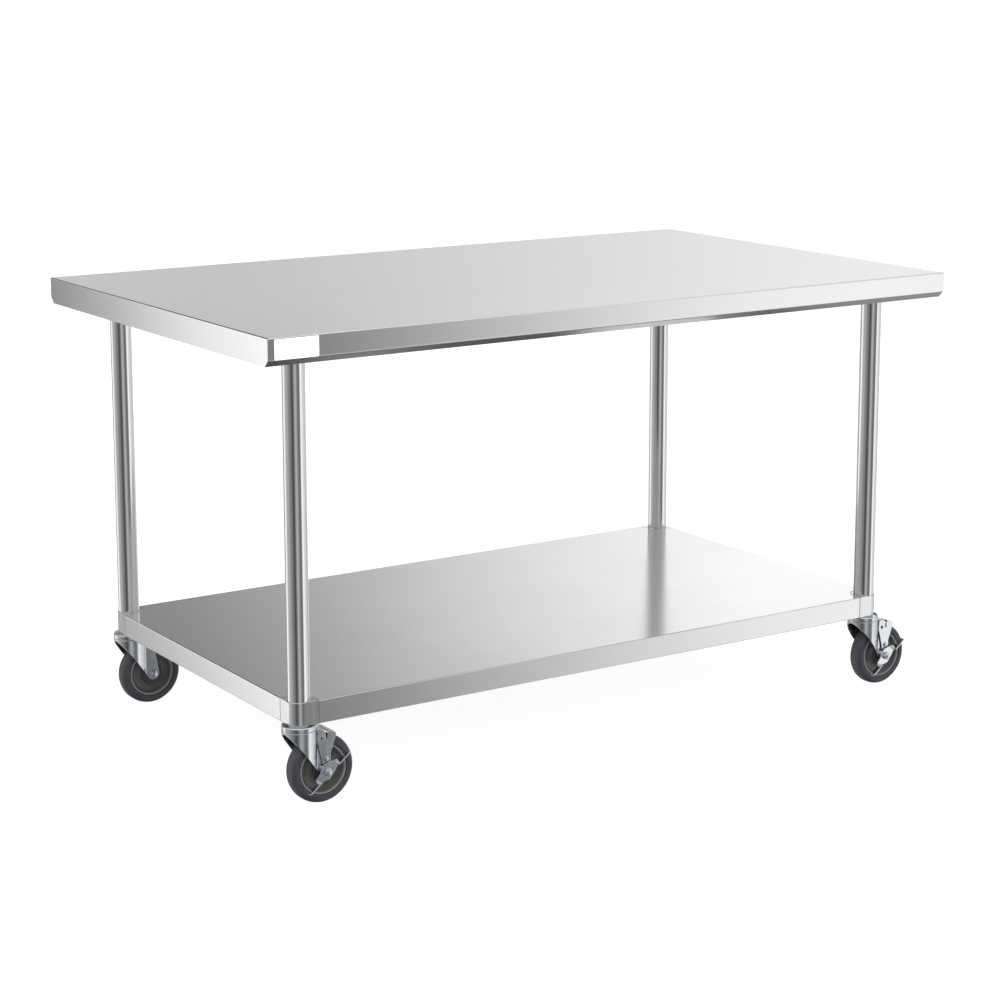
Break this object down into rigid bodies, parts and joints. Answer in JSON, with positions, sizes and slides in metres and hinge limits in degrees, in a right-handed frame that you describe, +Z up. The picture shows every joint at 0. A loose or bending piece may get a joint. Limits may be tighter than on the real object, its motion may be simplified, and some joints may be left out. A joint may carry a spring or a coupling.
{
  "type": "work table",
  "caption": "Rectangular stainless steel work table with turned-down edges, tube legs, an adjustable undershelf and swivel casters with side brakes at the front.",
  "frame": {"origin": "on the floor, under the centre of the top", "axes": "+X along the table's length, +Y towards its back, +Z up"},
  "size_m": [1.5259, 0.915, 0.8665],
  "materials": {
    "stainless": "brushed stainless sheet and tube",
    "galvanised": "galvanised sheet",
    "cast_clamp": "satin cast clamp",
    "zinc": "bright zinc plate",
    "steel": "plain steel",
    "tyre": "dark grey non-marking rubber",
    "hub": "grey-brown moulded wheel centre",
    "sleeve_rubber": "black rubber",
    "label": "white printed label, left blank"
  },
  "bodies": {
    "frame": {"worktop": "stainless", "front_label": "label", "channel_front": "galvanised", "channel_rear": "galvanised", "channel_cross": "galvanised", "leg_socket_fl": "stainless", "leg_socket_fr": "stainless", "leg_socket_rl": "stainless", "leg_socket_rr": "stainless", "leg_fl": "stainless", "leg_fr": "stainless", "leg_rl": "stainless", "leg_rr": "stainless", "raceway_fl": "zinc", "raceway_fr": "zinc", "raceway_rl": "zinc", "raceway_rr": "zinc", "stem_sleeve_fl": "sleeve_rubber", "stem_sleeve_fr": "sleeve_rubber", "stem_sleeve_rl": "sleeve_rubber", "stem_sleeve_rr": "sleeve_rubber"},
    "shelf": {"undershelf": "stainless", "shelf_channel": "galvanised", "shelf_clamp_fl": "cast_clamp", "shelf_clamp_fr": "cast_clamp", "shelf_clamp_rl": "cast_clamp", "shelf_clamp_rr": "cast_clamp", "set_screw_fl": "steel", "set_screw_fr": "steel", "set_screw_rl": "steel", "set_screw_rr": "steel"},
    "swivel_fl": {"fork_fl": "zinc", "axle_bolt_fl": "zinc", "wheel_bushing_fl": "steel", "brake_pin_fl": "steel"},
    "wheel_fl": {"hub_fl": "hub", "tyre_fl": "tyre"},
    "brake_lever_fl": {"brake_lever_fl": "zinc"},
    "brake_arm_fl": {"brake_arm_fl": "zinc"},
    "swivel_fr": {"fork_fr": "zinc", "axle_bolt_fr": "zinc", "wheel_bushing_fr": "steel", "brake_pin_fr": "steel"},
    "wheel_fr": {"hub_fr": "hub", "tyre_fr": "tyre"},
    "brake_lever_fr": {"brake_lever_fr": "zinc"},
    "brake_arm_fr": {"brake_arm_fr": "zinc"},
    "swivel_rl": {"fork_rl": "zinc", "axle_bolt_rl": "zinc", "wheel_bushing_rl": "steel"},
    "wheel_rl": {"hub_rl": "hub", "tyre_rl": "tyre"},
    "swivel_rr": {"fork_rr": "zinc", "axle_bolt_rr": "zinc", "wheel_bushing_rr": "steel"},
    "wheel_rr": {"hub_rr": "hub", "tyre_rr": "tyre"}
  },
  "joints": [
    {"name": "shelf_height", "type": "slide", "parent": "frame", "child": "shelf", "axis": [0, 0, 1], "range_m": [0, 0.5]},
    {"name": "caster_swivel_fl", "type": "hinge", "parent": "frame", "child": "swivel_fl", "pos_m": [-0.6604, -0.3556, 0.142], "axis": [0, 0, 1], "continuous": true},
    {"name": "wheel_spin_fl", "type": "hinge", "parent": "swivel_fl", "child": "wheel_fl", "pos_m": [-0.6204, -0.3556, 0.0635], "axis": [0, 1, 0], "continuous": true},
    {"name": "brake_fl", "type": "hinge", "parent": "swivel_fl", "child": "brake_lever_fl", "pos_m": [-0.6204, -0.3556, 0.0635], "axis": [0, 1, 0], "range_deg": [0, 25]},
    {"name": "brake_shoe_fl", "type": "hinge", "parent": "swivel_fl", "child": "brake_arm_fl", "pos_m": [-0.6199, -0.3556, 0.086], "axis": [0, 1, 0], "range_deg": [0, 12]},
    {"name": "caster_swivel_fr", "type": "hinge", "parent": "frame", "child": "swivel_fr", "pos_m": [0.6604, -0.3556, 0.142], "axis": [0, 0, 1], "continuous": true},
    {"name": "wheel_spin_fr", "type": "hinge", "parent": "swivel_fr", "child": "wheel_fr", "pos_m": [0.7004, -0.3556, 0.0635], "axis": [0, 1, 0], "continuous": true},
    {"name": "brake_fr", "type": "hinge", "parent": "swivel_fr", "child": "brake_lever_fr", "pos_m": [0.7004, -0.3556, 0.0635], "axis": [0, 1, 0], "range_deg": [0, 25]},
    {"name": "brake_shoe_fr", "type": "hinge", "parent": "swivel_fr", "child": "brake_arm_fr", "pos_m": [0.7009, -0.3556, 0.086], "axis": [0, 1, 0], "range_deg": [0, 12]},
    {"name": "caster_swivel_rl", "type": "hinge", "parent": "frame", "child": "swivel_rl", "pos_m": [-0.6604, 0.3556, 0.142], "axis": [0, 0, 1], "continuous": true},
    {"name": "wheel_spin_rl", "type": "hinge", "parent": "swivel_rl", "child": "wheel_rl", "pos_m": [-0.6204, 0.3556, 0.0635], "axis": [0, 1, 0], "continuous": true},
    {"name": "caster_swivel_rr", "type": "hinge", "parent": "frame", "child": "swivel_rr", "pos_m": [0.6604, 0.3556, 0.142], "axis": [0, 0, 1], "continuous": true},
    {"name": "wheel_spin_rr", "type": "hinge", "parent": "swivel_rr", "child": "wheel_rr", "pos_m": [0.7004, 0.3556, 0.0635], "axis": [0, 1, 0], "continuous": true}
  ],
  "couplings": [
    {"joint": "brake_shoe_fl", "follows": "brake_fl", "ratio": 0.48},
    {"joint": "brake_shoe_fr", "follows": "brake_fr", "ratio": 0.48}
  ]
}
